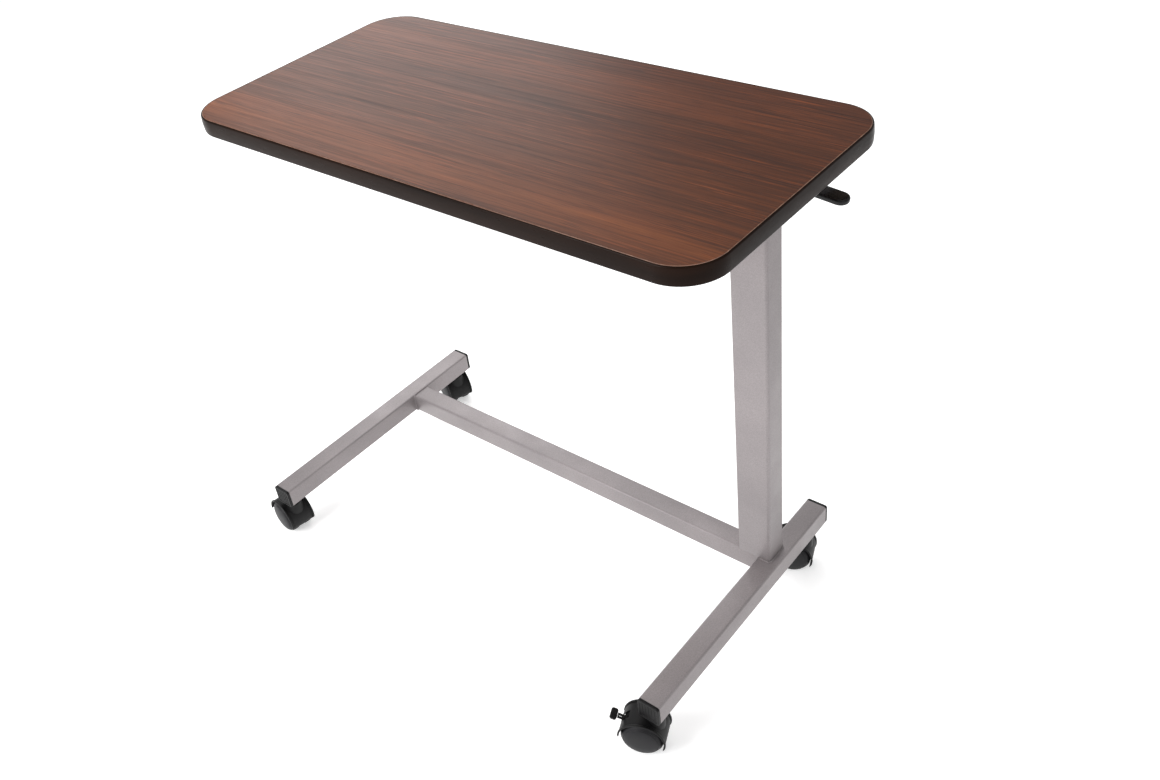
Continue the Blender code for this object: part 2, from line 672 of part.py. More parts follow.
def make_pedal(where, swivel, finishes):
    x, z = pedal_pivot()
    pivot = axis_empty("pedal_axis_" + where, swivel, (x, 0, z), (0, PEDAL_PITCH, 0))
    half = 0.0015
    hub = 0.0030
    meet = math.degrees(math.asin(half / hub))
    outline = [(0.016, -half), (0.016, half)] + arc((0, 0), hub, meet, 360 - meet, 12)
    pedal = extruded("brake_pedal_" + where, [outline], 0.0070, finishes["plastic"], pivot,
                     rotation=(90, 0, 0))
    pad_outline = rounded_rectangle(0.009, 0.016, 0.003, 3, (0.0175, 0))
    pad = extruded("pedal_pad_" + where, [pad_outline], 0.0042, None, pivot, (0, 0, 0.0004))
    PARTS.objects.unlink(pad)
    as_cutter(pad, pivot)
    combine(pedal, "UNION", [pad])


def make_casters(base, finishes):
    for where, (inset, aim, locking) in CASTERS.items():
        x = LEFT_LEG_X if where.endswith("left") else RIGHT_LEG_X
        y = LEG_FRONT_Y + inset if where.startswith("front") else LEG_BACK_Y - inset
        make_caster(where, base, finishes, (x, y, 0), aim, locking)


clear_scene()
PARTS = collection("overbed_table")
CUTTERS = collection("cutters")
FINISHES = make_materials()
ORIGIN = axis_empty("table_origin", None, (-ORIGIN_X, -ORIGIN_Y, 0))
TOP = axis_empty("lift_axis", ORIGIN, (0, 0, 0))
make_top(TOP, FINISHES)
make_mounting(TOP, FINISHES)
make_inner_column(TOP, FINISHES)
make_rod(TOP, FINISHES)
make_lever(TOP, FINISHES)
make_column(ORIGIN, FINISHES)
make_legs(ORIGIN, FINISHES)
make_casters(ORIGIN, FINISHES)
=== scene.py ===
"""Looks of the overbed table: finer pieces, materials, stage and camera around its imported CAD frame.

Everything is in metres in the row frame: +X runs along the table top towards the column's end,
+Y towards the back, and the floor is z = 0. Places and sizes come from the CAD nodes' boxes and
from the record's joints.
"""

import json
import math

import bmesh
import bpy
from mathutils import Matrix, Vector, geometry


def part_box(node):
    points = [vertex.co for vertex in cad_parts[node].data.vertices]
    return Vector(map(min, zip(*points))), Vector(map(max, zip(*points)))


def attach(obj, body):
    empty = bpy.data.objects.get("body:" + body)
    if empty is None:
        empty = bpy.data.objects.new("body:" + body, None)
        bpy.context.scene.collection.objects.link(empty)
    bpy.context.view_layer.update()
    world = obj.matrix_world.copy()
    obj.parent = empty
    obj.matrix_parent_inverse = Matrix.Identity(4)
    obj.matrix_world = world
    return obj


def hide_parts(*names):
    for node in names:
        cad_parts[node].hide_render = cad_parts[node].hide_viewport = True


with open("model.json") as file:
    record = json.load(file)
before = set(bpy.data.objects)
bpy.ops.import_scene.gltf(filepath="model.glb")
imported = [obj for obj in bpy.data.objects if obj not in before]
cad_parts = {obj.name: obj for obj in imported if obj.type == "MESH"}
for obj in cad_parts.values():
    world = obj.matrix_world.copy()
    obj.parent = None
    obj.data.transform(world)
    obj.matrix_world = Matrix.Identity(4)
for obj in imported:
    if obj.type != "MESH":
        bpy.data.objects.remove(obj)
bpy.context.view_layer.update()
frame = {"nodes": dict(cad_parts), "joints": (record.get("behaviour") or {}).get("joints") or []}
JOINTS = {joint["name"]: joint for joint in frame["joints"]}
CORNERS = ("front_left", "rear_left", "front_right", "rear_right")
BRAKED = ("front_right", "rear_right")

# The camera and the stage.
CAMERA_PLACE = (0.8970, -0.8491, 1.2660)
CAMERA_TURN = (53.606, 6.597, 39.217)
CAMERA_LENS = 35.68
CAMERA_SHIFT = (0.01724, -0.03448)
FLOOR_SIZE = 40.0

# How strongly the studio lights the top, and how much white sheen it adds there, in linear light.
TOP_LIGHT = 1.55
TOP_SHEEN = 0.020

# The table top.
TOP_CORNER = 0.052
RIM_TOP = 0.0024
RIM_ROUNDING = 0.0023
LAMINATE_SHEET = 0.0012
LAMINATE_BEVEL = 0.0009
EDGE_CROWN = 0.0005

# Tubes.
TUBE_CORNER = 0.0032
TUBE_WALL = 0.0018
COLUMN_CORNER = 0.0042
COLUMN_WALL = 0.002

# The distance from ripple to ripple along a weld bead.
WELD_PITCH = 0.0026

# What a sliding or pushed-in piece leaves free in all, both sides together.
CLEARANCE = 0.0006

# How far the lever slopes down from its pivot, in degrees.
LEVER_PITCH = 6

# Casters, in each caster's own frame: the stem is on Z and the wheels trail along +X.
HOOD_RIM = 0.0310
HOOD_TOP = 0.0301
HOOD_INSIDE = 0.0289
HOOD_HALF = 0.0205
WEB_HALF = 0.0036
HOOD_ENDS = (5, 203)
PEDAL_PITCH = -20


# Shapes. Each function returns points or a bmesh in its own frame.


def arc(centre, radius, start, end, steps):
    """Points along an arc, with its angles in degrees."""
    points = []
    for step in range(steps + 1):
        angle = math.radians(start + (end - start) * step / steps)
        points.append((centre[0] + radius * math.cos(angle), centre[1] + radius * math.sin(angle)))
    return points


def circle(radius, steps, centre=(0, 0)):
    return arc(centre, radius, 0, 360, steps)[:-1]


def rounded_rectangle(length, width, radius, steps=8, centre=(0, 0)):
    points = []
    for quarter, (side_x, side_y) in enumerate(((1, 1), (-1, 1), (-1, -1), (1, -1))):
        corner = (centre[0] + side_x * (length / 2 - radius),
                  centre[1] + side_y * (width / 2 - radius))
        points += arc(corner, radius, 90 * quarter, 90 * quarter + 90, steps)
    return points


def moved_out(outline, distance):
    """The outline, drawn anticlockwise, with each point moved out along the bisector of its sides."""
    moved = []
    for index, point in enumerate(outline):
        here, before = Vector(point), Vector(outline[index - 1])
        after = Vector(outline[(index + 1) % len(outline)])
        first, second = (here - before).normalized(), (after - here).normalized()
        normal = Vector((first.y + second.y, -first.x - second.x))
        reach = distance / max(0.3, normal.length / 2)
        moved.append(tuple(here + normal.normalized() * reach))
    return moved


def join_rings(work, here, there):
    """Faces between two rings of vertices that have one length."""
    for index in range(len(here)):
        after = (index + 1) % len(here)
        work.faces.new((here[index], here[after], there[after], there[index]))


def lofted(rings, loop=False, caps=True):
    """A skin through rings of points that have one length. A loop joins the last ring to the first."""
    work = bmesh.new()
    made = [[work.verts.new(point) for point in ring] for ring in rings]
    for here, there in zip(made, made[1:] + made[:1] if loop else made[1:]):
        join_rings(work, here, there)
    if caps and not loop:
        for ring in (made[0], made[-1]):
            if (ring[0].co - ring[len(ring) // 2].co).length > 1e-6:
                work.faces.new(ring)
    tidied(work)
    return work


def tidied(work):
    bmesh.ops.remove_doubles(work, verts=work.verts, dist=2e-7)
    bmesh.ops.dissolve_degenerate(work, edges=work.edges, dist=1e-7)
    bmesh.ops.recalc_face_normals(work, faces=work.faces)


def slab(outlines, low, high, edge, edge_steps=3):
    """A plate between two heights with rounded edges. The outlines after the first are holes in it."""
    levels = []
    for step in range(edge_steps + 1):
        angle = math.radians(90 * step / edge_steps)
        levels.append((edge * (1 - math.sin(angle)), edge * (1 - math.cos(angle))))
    heights = [(inset, high - drop) for inset, drop in levels]
    heights += [(inset, low + drop) for inset, drop in reversed(levels)]
    work = bmesh.new()
    ends = ([], [])
    for number, outline in enumerate(outlines):
        side = 1 if number else -1
        rings = []
        for inset, height in heights:
            ring = moved_out(outline, side * inset) if inset else outline
            rings.append([work.verts.new((x, y, height)) for x, y in ring])
        for here, there in zip(rings, rings[1:]):
            join_rings(work, here, there)
        ends[0].append(rings[0])
        ends[1].append(rings[-1])
    for loops in ends:
        flat = [vert for loop in loops for vert in loop]
        if len(loops) == 1:
            work.faces.new(flat)
            continue
        for triangle in geometry.tessellate_polygon([[vert.co for vert in loop] for loop in loops]):
            work.faces.new([flat[index] for index in triangle])
    tidied(work)
    return work


def turned(profile, steps=48):
    """A profile of (radius, height) points turned about Z. It closes on itself if it stays off the axis."""
    closed = profile[0][0] > 1e-6
    rings = []
    for radius, height in profile:
        rings.append([(x, y, height) for x, y in circle(max(radius, 1e-7), steps)])
    work = lofted(rings, loop=closed, caps=False)
    if not closed:
        bmesh.ops.remove_doubles(work, verts=work.verts, dist=1e-6)
        bmesh.ops.recalc_face_normals(work, faces=work.faces)
    return work


def swept_round(section, length, width, radius, steps=24):
    """A closed section of (outward, height) points carried round a rounded rectangle."""
    rings = []
    for quarter, (side_x, side_y) in enumerate(((1, 1), (-1, 1), (-1, -1), (1, -1))):
        corner = (side_x * (length / 2 - radius), side_y * (width / 2 - radius))
        for step in range(steps + 1):
            angle = math.radians(90 * quarter + 90 * step / steps)
            rings.append([(corner[0] + (radius + out) * math.cos(angle),
                           corner[1] + (radius + out) * math.sin(angle), height)
                          for out, height in section])
    return lofted(rings, loop=True)


def tube(size, corner, wall, length, steps=6):
    """An open rounded rectangular tube along Z about its middle, with its end edges eased."""
    outer = rounded_rectangle(*size, corner, steps)
    inner = rounded_rectangle(size[0] - 2 * wall, size[1] - 2 * wall, max(corner - wall, 0.0006), steps)
    return slab([outer, inner], -length / 2, length / 2, 0.0003, 2)


def rippled_bead(path, radius, ripple, pitch, steps=8):
    """A weld bead: a small round section carried along a path of points, swelling at each pitch."""
    rings, travelled = [], 0.0
    points = [Vector(point) for point in path]
    for index, point in enumerate(points):
        before, after = points[max(index - 1, 0)], points[min(index + 1, len(points) - 1)]
        travelled += (point - points[index - 1]).length if index else 0.0
        along = (after - before).normalized()
        side = along.orthogonal().normalized()
        up = along.cross(side)
        ends = min(1.0, 0.35 + 0.65 * min(index, len(points) - 1 - index) / 3)
        reach = radius * ends * (1 + ripple * math.cos(2 * math.pi * travelled / pitch))
        rings.append([point + reach * (side * math.cos(turn) + up * math.sin(turn))
                      for turn in (2 * math.pi * step / steps for step in range(steps))])
    return lofted(rings)


def along_lines(corners, spacing=0.0006):
    """Points at even spacing along straight lines through the corners."""
    points = []
    for start, end in zip(corners, corners[1:]):
        start, end = Vector(start), Vector(end)
        count = max(2, round((end - start).length / spacing))
        points += [start.lerp(end, step / count) for step in range(count)]
    return points + [Vector(corners[-1])]


def linked(name, work, finish=None):
    """An object in the scene made from a bmesh, which is used up."""
    mesh = bpy.data.meshes.new(name)
    work.to_mesh(mesh)
    work.free()
    if finish:
        mesh.materials.append(finish)
    obj = bpy.data.objects.new(name, mesh)
    bpy.context.scene.collection.objects.link(obj)
    return obj


def cut(work, cutters):
    """The bmesh less each closed cutter, which is used up."""
    body = linked("cut_body", work)
    helpers = []
    for cutter in cutters:
        helper = linked("cutter", cutter)
        step = body.modifiers.new("cut", "BOOLEAN")
        step.operation = "DIFFERENCE"
        step.object = helper
        helpers.append(helper)
    graph = bpy.context.evaluated_depsgraph_get()
    result = bmesh.new()
    result.from_mesh(body.evaluated_get(graph).to_mesh())
    for helper in helpers + [body]:
        bpy.data.objects.remove(helper, do_unlink=True)
    return result


def block(low, high):
    """A cutter with flat sides."""
    work = bmesh.new()
    bmesh.ops.create_cube(work, size=1.0)
    for vert in work.verts:
        for axis in range(3):
            vert.co[axis] = low[axis] if vert.co[axis] < 0 else high[axis]
    return work


def piece(name, work, look, body, stands_for=(), place=None, sharp=32):
    """Link a bmesh, moved to its place, as a piece that rides a CAD body and stands for CAD nodes."""
    if place is not None:
        work.transform(place)
    obj = linked(name, work, LOOKS[look])
    obj.data.shade_smooth()
    obj.data.set_sharp_from_angle(angle=math.radians(sharp))
    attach(obj, body)
    if stands_for:
        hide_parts(*stands_for)
    return obj


def box_of(node):
    """The middle and the size of a CAD node."""
    low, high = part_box(node)
    return (low + high) / 2, high - low


# Material nodes.


def srgb(red, green, blue):
    """A colour given in the 0 to 255 values of a screen, as linear light."""
    linear = [value / 255 / 12.92 if value <= 10 else ((value / 255 + 0.055) / 1.055) ** 2.4
              for value in (red, green, blue)]
    return (*linear, 1.0)


def printed(red, green, blue):
    """The colour to give the top so that it shows as this screen colour under the studio lights."""
    shown = srgb(red, green, blue)[:3]
    return (*(max(0.002, (value - TOP_SHEEN) / TOP_LIGHT) for value in shown), 1.0)


class Finish:
    """A Principled material, and short ways to add the nodes that give it detail."""

    def __init__(self, name, **sockets):
        self.material = bpy.data.materials.new(name)
        self.material.use_nodes = True
        self.tree = self.material.node_tree
        self.shader = self.tree.nodes["Principled BSDF"]
        for socket, value in sockets.items():
            self.shader.inputs[socket.replace("_", " ")].default_value = value
        self.place = self.tree.nodes.new("ShaderNodeTexCoord").outputs["Object"]

    def link(self, source, target):
        self.tree.links.new(source, target)

    def stretched(self, scale):
        """The piece's own coordinates, scaled along each axis."""
        made = self.tree.nodes.new("ShaderNodeMapping")
        made.inputs["Scale"].default_value = scale
        self.link(self.place, made.inputs["Vector"])
        return made.outputs["Vector"]

    def noise(self, scale, detail=3.0, roughness=0.5):
        made = self.tree.nodes.new("ShaderNodeTexNoise")
        made.inputs["Scale"].default_value = 1.0
        made.inputs["Detail"].default_value = detail
        made.inputs["Roughness"].default_value = roughness
        self.link(self.stretched(scale), made.inputs["Vector"])
        return made.outputs["Fac"]

    def cells(self, scale):
        made = self.tree.nodes.new("ShaderNodeTexVoronoi")
        made.inputs["Scale"].default_value = 1.0
        self.link(self.stretched(scale), made.inputs["Vector"])
        return made.outputs

    def ranged(self, value, low, high, new_low, new_high):
        made = self.tree.nodes.new("ShaderNodeMapRange")
        limits = {"From Min": low, "From Max": high, "To Min": new_low, "To Max": new_high}
        for socket, number in limits.items():
            made.inputs[socket].default_value = number
        self.link(value, made.inputs["Value"])
        return made.outputs["Result"]

    def ramp(self, value, stops):
        """A colour that changes with a value, through (value, colour) stops."""
        made = self.tree.nodes.new("ShaderNodeValToRGB")
        elements = made.color_ramp.elements
        while len(elements) < len(stops):
            elements.new(0.5)
        for element, (place, colour) in zip(elements, stops):
            element.position = place
            element.color = colour
        self.link(value, made.inputs["Fac"])
        return made.outputs["Color"]

    def mixed(self, factor, first, second, blend="MIX"):
        made = self.tree.nodes.new("ShaderNodeMix")
        made.data_type = "RGBA"
        made.blend_type = blend
        for name, value in (("Factor", factor), ("A", first), ("B", second)):
            if isinstance(value, (int, float, tuple)):
                made.inputs[name].default_value = value
            else:
                self.link(value, made.inputs[name])
        # A mix node has a result for each type of data, and the colour is the third.
        return made.outputs[2]

    def sums(self, operation, first, second):
        made = self.tree.nodes.new("ShaderNodeMath")
        made.operation = operation
        for socket, value in zip(made.inputs, (first, second)):
            if isinstance(value, (int, float)):
                socket.default_value = value
            else:
                self.link(value, socket)
        return made.outputs["Value"]

    def colour(self, source):
        self.link(source, self.shader.inputs["Base Color"])

    def roughness(self, source):
        self.link(source, self.shader.inputs["Roughness"])

    def bump(self, height, distance, strength=1.0):
        made = self.tree.nodes.new("ShaderNodeBump")
        made.inputs["Strength"].default_value = strength
        made.inputs["Distance"].default_value = distance
        self.link(height, made.inputs["Height"])
        self.link(made.outputs["Normal"], self.shader.inputs["Normal"])


# Materials.


def grey(level):
    return (level, level, level, 1.0)


def walnut():
    """Satin laminate printed as walnut: warm and dark bands along the top, fine streaks and short pores, and
    a fall from a lighter left end to a darker right end that is partly the print's tone and partly painted
    sheen.
    """
    made = Finish("walnut_laminate_look", Specular_IOR_Level=0.12)
    low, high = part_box("top_laminate")
    split = made.tree.nodes.new("ShaderNodeSeparateXYZ")
    made.link(made.place, split.inputs["Vector"])
    wander = made.noise((2.2, 9, 1), 2.0)
    across = made.sums("ADD", made.ranged(split.outputs["Y"], low.y, high.y, 0, 1),
                       made.ranged(wander, 0, 1, -0.05, 0.05))
    bands = made.ramp(across, [
        (0.02, printed(112, 66, 44)), (0.10, printed(131, 76, 47)), (0.17, printed(121, 70, 45)),
        (0.27, printed(104, 62, 43)), (0.40, printed(104, 62, 43)), (0.50, printed(103, 61, 43)),
        (0.60, printed(94, 57, 42)), (0.68, printed(103, 62, 44)), (0.78, printed(115, 68, 48)),
        (0.86, printed(112, 67, 48)), (0.95, printed(101, 62, 47))])
    # Lighter at the left end and darker at the right: partly the print's own tone, partly painted sheen that
    # fades away from the left.
    tone_and_sheen_along_x = made.ranged(split.outputs["X"], low.x, high.x, 1.16, 0.82)
    broad = made.ranged(made.noise((3.0, 45, 1), 3.0), 0.3, 0.7, 0.80, 1.20)
    streaks = made.noise((5, 330, 1), 6.0, 0.62)
    fine = made.noise((16, 1300, 1), 3.0, 0.6)
    shade = made.sums("MULTIPLY", tone_and_sheen_along_x, broad)
    shade = made.sums("MULTIPLY", shade, made.ranged(streaks, 0.28, 0.72, 0.55, 1.45))
    shade = made.sums("MULTIPLY", shade, made.ranged(fine, 0.3, 0.7, 0.82, 1.18))
    base = made.mixed(1.0, bands, shade, "MULTIPLY")
    flecks = made.ranged(made.noise((11, 520, 1), 4.0, 0.6), 0.56, 0.72, 0.0, 0.6)
    warmed = made.mixed(flecks, base, printed(170, 92, 54))
    pores = made.ranged(made.noise((26, 820, 1), 2.0, 0.5), 0.60, 0.72, 0.0, 0.6)
    made.colour(made.mixed(pores, warmed, printed(54, 34, 28)))
    made.roughness(made.ranged(streaks, 0.3, 0.7, 0.44, 0.36))
    made.bump(made.sums("ADD", streaks, made.sums("MULTIPLY", pores, -0.6)), 0.00006, 0.5)
    return made.material


def painted_edge_highlight():
    """The laminate's own eased edge, coloured pale as a painted highlight where the edge catches the light.
    """
    made = Finish("painted_edge_highlight_look")
    mottle = made.noise((120, 120, 120), 3.0)
    made.colour(made.ramp(mottle, [(0.3, srgb(104, 66, 48)), (0.7, srgb(156, 116, 94))]))
    made.roughness(made.ranged(mottle, 0.3, 0.7, 0.30, 0.42))
    return made.material


def moulding():
    """Dark brown vinyl: a fine extrusion grain along the edge and faint scuffs."""
    made = Finish("edge_moulding_look", Specular_IOR_Level=0.07)
    tone = made.noise((7, 7, 60), 3.0)
    made.colour(made.ramp(tone, [(0.3, srgb(19, 9, 5)), (0.7, srgb(31, 17, 10))]))
    grain = made.noise((900, 900, 900), 2.0)
    made.roughness(made.ranged(made.noise((60, 60, 300), 4.0), 0.3, 0.7, 0.26, 0.40))
    made.bump(grain, 0.00004, 0.25)
    return made.material


def silver_paint():
    """Powder coat in a warm silver: small metallic flakes, a soft orange peel and uneven sheen."""
    made = Finish("silver_paint_look", Metallic=0.35, Specular_IOR_Level=0.5)
    cloud = made.noise((9, 9, 9), 3.0)
    base = made.ramp(cloud, [(0.3, srgb(139, 133, 134)), (0.7, srgb(151, 144, 145))])
    flakes = made.ranged(made.cells((1500, 1500, 1500))["Color"], 0.0, 1.0, 0.84, 1.16)
    made.colour(made.mixed(1.0, base, flakes, "MULTIPLY"))
    peel = made.noise((420, 420, 420), 3.0, 0.6)
    made.roughness(made.ranged(made.noise((30, 30, 30), 4.0), 0.3, 0.7, 0.40, 0.50))
    made.bump(peel, 0.00008, 0.35)
    return made.material


def zinc_steel():
    """Drawn and zinc-plated steel: fine lines along the bar and a faint mottle."""
    made = Finish("zinc_steel_look", Metallic=1.0)
    mottle = made.noise((70, 70, 70), 4.0, 0.6)
    made.colour(made.ramp(mottle, [(0.3, srgb(172, 173, 176)), (0.7, srgb(196, 197, 199))]))
    lines = made.noise((2600, 2600, 12), 3.0, 0.6)
    made.roughness(made.ranged(lines, 0.3, 0.7, 0.24, 0.42))
    made.bump(lines, 0.00002, 0.25)
    return made.material


def moulded_plastic(name, dark, light, smooth, rough, grain, depth):
    """Moulded black plastic: a spark-eroded grain, with patches that are a little more worn."""
    made = Finish(name, Specular_IOR_Level=0.24)
    patches = made.noise((55, 55, 55), 4.0, 0.6)
    made.colour(made.ramp(patches, [(0.3, dark), (0.7, light)]))
    made.roughness(made.ranged(patches, 0.3, 0.7, smooth, rough))
    made.bump(made.noise((grain, grain, grain), 3.0, 0.6), depth, 0.4)
    return made.material


def particle_board():
    made = Finish("particle_board_look", Roughness=0.9)
    chips = made.cells((260, 260, 420))
    tone = made.ranged(chips["Color"], 0.0, 1.0, 0.0, 1.0)
    made.colour(made.ramp(tone, [(0.0, srgb(150, 118, 80)), (0.6, srgb(188, 156, 112)),
                                 (1.0, srgb(206, 178, 136))]))
    made.bump(chips["Distance"], 0.0003, 0.5)
    return made.material


def backing_sheet():
    """Brown kraft backing under the top, with a faint cross lay of fibres."""
    made = Finish("backing_sheet_look")
    fibres = made.noise((60, 900, 60), 4.0, 0.6)
    crossed = made.noise((700, 40, 60), 3.0, 0.6)
    tone = made.sums("MULTIPLY", made.sums("ADD", fibres, crossed), 0.5)
    made.colour(made.ramp(tone, [(0.35, srgb(92, 76, 64)), (0.65, srgb(124, 105, 90))]))
    made.roughness(made.ranged(fibres, 0.3, 0.7, 0.62, 0.8))
    made.bump(tone, 0.0001, 0.3)
    return made.material


def make_materials():
    return {
        "walnut_laminate": walnut(),
        "laminate_edge": painted_edge_highlight(),
        "edge_moulding": moulding(),
        "silver_paint": silver_paint(),
        "zinc_steel": zinc_steel(),
        "black_plastic": moulded_plastic("black_plastic_look", srgb(9, 9, 10), srgb(17, 16, 17),
                                         0.42, 0.54, 1400, 0.00006),
        "wheel_plastic": moulded_plastic("wheel_plastic_look", srgb(21, 21, 23), srgb(31, 30, 33),
                                         0.42, 0.54, 1800, 0.00004),
        "wheel_tread": moulded_plastic("wheel_tread_look", srgb(9, 9, 9), srgb(18, 17, 17),
                                       0.55, 0.7, 900, 0.0001),
        "lever_plastic": moulded_plastic("lever_plastic_look", srgb(16, 16, 17), srgb(24, 24, 25),
                                         0.16, 0.26, 700, 0.00002),
        "cylinder_paint": moulded_plastic("cylinder_paint_look", srgb(24, 24, 25), srgb(34, 34, 35),
                                          0.25, 0.36, 500, 0.00003),
        "particle_board": particle_board(),
        "backing_sheet": backing_sheet(),
    }


LOOKS = make_materials()


# The table top.


def make_top():
    """The laminate sheet with its eased edge, and the moulding round it."""
    middle, size = box_of("top_edge_moulding")
    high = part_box("top_edge_moulding")[1]
    at_middle = Matrix.Translation((middle.x, middle.y, 0))
    length, width = size.x, size.y

    inner = (length - 2 * RIM_TOP, width - 2 * RIM_TOP, TOP_CORNER - RIM_TOP)
    sheet_low = high.z - LAMINATE_SHEET
    section = [(-LAMINATE_BEVEL, high.z - 0.0001), (0, high.z - 0.0005),
               (0, sheet_low), (-LAMINATE_BEVEL, sheet_low)]
    # The eased edge strip is coloured pale as a painted highlight.
    piece("laminate_edge", swept_round(section, *inner), "laminate_edge", "table_top", place=at_middle)
    face = (inner[0] - 2 * LAMINATE_BEVEL, inner[1] - 2 * LAMINATE_BEVEL, inner[2] - LAMINATE_BEVEL)
    piece("laminate_face", slab([rounded_rectangle(*face, 24)], sheet_low, high.z, 0.0001, 1),
          "walnut_laminate", "table_top", ["top_laminate"], at_middle)

    # The moulding: a crowned face with rounded edges, and a flat back against the board.
    half, centre = size.z / 2, middle.z
    crown = [(-EDGE_CROWN * (step / 4) ** 2, centre - (half - RIM_ROUNDING) * step / 4)
             for step in range(-4, 5)]
    shoulder = -EDGE_CROWN - RIM_ROUNDING
    section = arc((shoulder, centre + half - RIM_ROUNDING), RIM_ROUNDING, 90, 0, 6)[:-1] + crown
    section += arc((shoulder, centre - half + RIM_ROUNDING), RIM_ROUNDING, 0, -90, 6)[1:]
    section = [(-RIM_TOP - 0.0001, centre + half - 0.0003)] + [
        point for point in section if point[0] > -RIM_TOP - 0.0001]
    back, ledge = -0.0042, sheet_low - 0.0002
    section += [(back, centre - half), (back, ledge), (-RIM_TOP - 0.0001, ledge)]
    piece("edge_moulding", swept_round(section, length, width, TOP_CORNER), "edge_moulding", "table_top",
          ["top_edge_moulding"], at_middle)


def make_mounting():
    """The plate, the two angles and the screws under the top."""
    middle, size = box_of("top_mounting_plate")
    screws = [name for name in frame["nodes"] if name.startswith("wood_screw_")]
    holes, hole_radius = [], 0.0024
    for name in screws:
        place, _ = box_of(name)
        if not name.endswith("angle"):
            holes.append(circle(hole_radius, 24, (place.x - middle.x, place.y - middle.y)))
    plate = slab([rounded_rectangle(size.x, size.y, 0.006, 8)] + holes, -size.z / 2, size.z / 2, 0.0004, 2)
    piece("mounting_plate", plate, "silver_paint", "table_top", ["top_mounting_plate"],
          Matrix.Translation(middle))

    for side, inward in (("front", 1), ("rear", -1)):
        name = side + "_support_angle"
        middle, size = box_of(name)
        low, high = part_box(name)
        flange, wall = size.y, 0.002
        bend = 0.0028
        outline = arc((bend, -bend), bend, 180, 90, 5)
        outline += [(flange, 0), (flange, -wall), (bend, -wall)]
        outline += arc((bend, -bend), bend - wall, 90, 180, 3)[1:-1]
        outline += [(wall, -bend), (wall, -size.z), (0, -size.z)]
        outline = [(inward * x, z) for x, z in outline]
        if inward > 0:
            outline.reverse()
        edge_y = low.y if inward > 0 else high.y
        # The outline lies in the YZ plane, and its thickness runs along X.
        place = Matrix.Translation((middle.x, edge_y, high.z)) @ Matrix(
            ((0, 0, 1, 0), (1, 0, 0, 0), (0, 1, 0, 0), (0, 0, 0, 1)))
        piece(name + "_bar", slab([outline], -size.x / 2, size.x / 2, 0.0003, 1), "silver_paint",
              "table_top", [name], place)

    for name in screws:
        low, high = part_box(name)
        middle, size = box_of(name)
        head_z, reach = low.z + 0.0028, size.x / 2
        shank = 0.0020
        profile = [(0, low.z), (0.0018, low.z + 0.0001), (0.0031, low.z + 0.0006), (0.0040, low.z + 0.0015),
                   (reach, head_z - 0.0007), (reach, head_z - 0.0003), (shank, head_z - 0.0003),
                   (shank, high.z - 0.005), (shank / 2, high.z - 0.0015), (0, high.z)]
        head = turned(profile, 32)
        arm, half_slot, depth = 0.0021, 0.00045, low.z + 0.0014
        cross = [block((-arm, -half_slot, low.z - 0.001), (arm, half_slot, depth)),
                 block((-half_slot, -arm, low.z - 0.001), (half_slot, arm, depth))]
        # Each screw stopped at its own angle.
        turn = Matrix.Rotation(28 * middle.x, 4, "Z")
        piece(name + "_pan_head", cut(head, cross), "zinc_steel", "table_top", [name],
              Matrix.Translation((middle.x, middle.y, 0)) @ turn)


def make_lever():
    """The glossy paddle under the top's right-hand end."""
    reach, width, thickness, start, rounding = 0.0994, 0.021, 0.0065, 0.030, 0.003
    tip = reach - width / 2
    side = width / 2 - 0.0002
    root = (start + rounding, width / 2 - 0.0042)
    outline = arc((tip, 0), width / 2, -90, 90, 20)
    outline += [(start + 0.012, side)] + arc(root, rounding, 90, 180, 5)
    outline += arc((root[0], -root[1]), rounding, 180, 270, 5) + [(start + 0.012, -side)]
    pitch = Matrix.Rotation(math.radians(LEVER_PITCH), 4, "Y")
    place = Matrix.Translation(JOINTS["lever_lift"]["pos_m"]) @ pitch
    piece("lever_paddle", slab([outline], -thickness / 2, thickness / 2, 0.0022, 5), "lever_plastic",
          "release_lever", ["lever_grip"], place, 50)


# The base.


def make_column():
    """The fixed tube of the column, and the guide bush in its mouth."""
    middle, size = box_of("outer_column")
    piece("column_tube", tube((size.x, size.y), COLUMN_CORNER, COLUMN_WALL, size.z, 8), "silver_paint",
          "base", ["outer_column"], Matrix.Translation(middle))

    low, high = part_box("column_guide_bush")
    _, inner_size = box_of("inner_column")
    opening = rounded_rectangle(inner_size.x + CLEARANCE, inner_size.y + CLEARANCE, 0.0038, 8)
    collar_low = high.z - 0.003
    place = Matrix.Translation((middle.x, middle.y, 0))
    outer = rounded_rectangle(size.x, size.y, COLUMN_CORNER, 8)
    collar = slab([outer, opening], collar_low, high.z, 0.0009, 4)
    piece("guide_collar", collar, "black_plastic", "base", ["column_guide_bush"], place)
    shrink = 2 * COLUMN_WALL + CLEARANCE
    sleeve = rounded_rectangle(size.x - shrink, size.y - shrink, 0.0024, 6)
    piece("guide_sleeve", slab([sleeve, opening], low.z, collar_low, 0.0003, 1), "black_plastic", "base",
          (), place)


def lying(axis):
    """Turns a tube that runs along Z so that it runs along X or Y."""
    return Matrix.Rotation(math.radians(90), 4, "Y" if axis == "X" else "X")


def make_base():
    for node, axis in (("left_leg", "Y"), ("right_leg", "Y"), ("cross_rail", "X")):
        middle, size = box_of(node)
        length = size.y if axis == "Y" else size.x
        piece(node + "_tube", tube((size.z, size.z), TUBE_CORNER, TUBE_WALL, length), "silver_paint",
              "base", [node], Matrix.Translation(middle) @ lying(axis))
    make_welds()
    for where in CORNERS:
        make_plug(where)
        make_socket(where)


